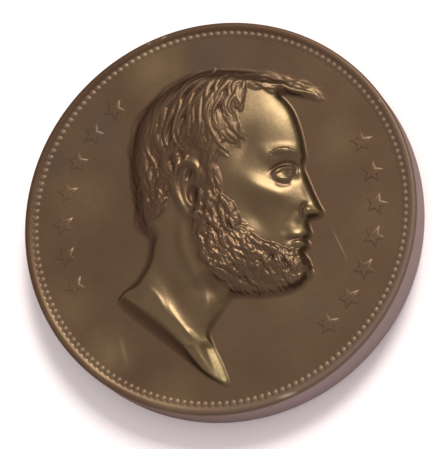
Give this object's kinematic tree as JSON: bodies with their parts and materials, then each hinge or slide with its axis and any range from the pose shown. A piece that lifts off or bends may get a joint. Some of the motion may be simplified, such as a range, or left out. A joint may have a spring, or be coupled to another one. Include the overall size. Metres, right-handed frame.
{
  "type": "commemorative medal",
  "caption": "Round struck bronze medal: raised rim and bead ring on both faces, high-relief bearded head in profile between two arcs of small stars, plain reverse.",
  "frame": {"origin": "centre of the reverse rim, which is the face it rests on", "axes": "+Z along the medal's axis, out of the obverse; +Y to the top of the obverse"},
  "size_m": [0.05, 0.05, 0.0076],
  "materials": {
    "bronze": "chocolate-brown patina on bronze, satin gloss, rubbed olive-gold on the high points"
  },
  "bodies": {
    "root": {"medal": "bronze"}
  },
  "joints": []
}
